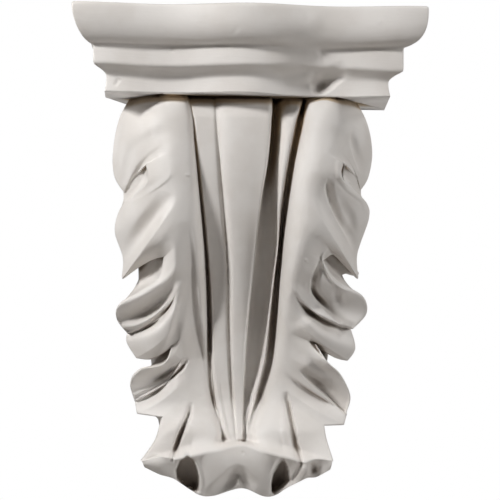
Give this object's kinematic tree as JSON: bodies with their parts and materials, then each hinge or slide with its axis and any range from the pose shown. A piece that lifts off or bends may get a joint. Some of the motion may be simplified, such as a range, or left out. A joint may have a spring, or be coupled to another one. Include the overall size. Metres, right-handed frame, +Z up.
{
  "type": "corbel",
  "caption": "Cast wall corbel: a moulded cap with a serpentine front over a fluted acanthus leaf with scalloped sides that curls forward at its foot.",
  "frame": {"origin": "middle of the flat back face, on the wall plane, half way up the corbel", "axes": "+Z up, +Y into the wall, so the corbel stands out towards -Y; +X to the right for someone facing it"},
  "size_m": [0.178, 0.112, 0.254],
  "materials": {
    "primed_urethane": "matt off-white primer, tan where it lies thin in the grooves"
  },
  "bodies": {
    "root": {"corbel": "primed_urethane"}
  },
  "joints": []
}
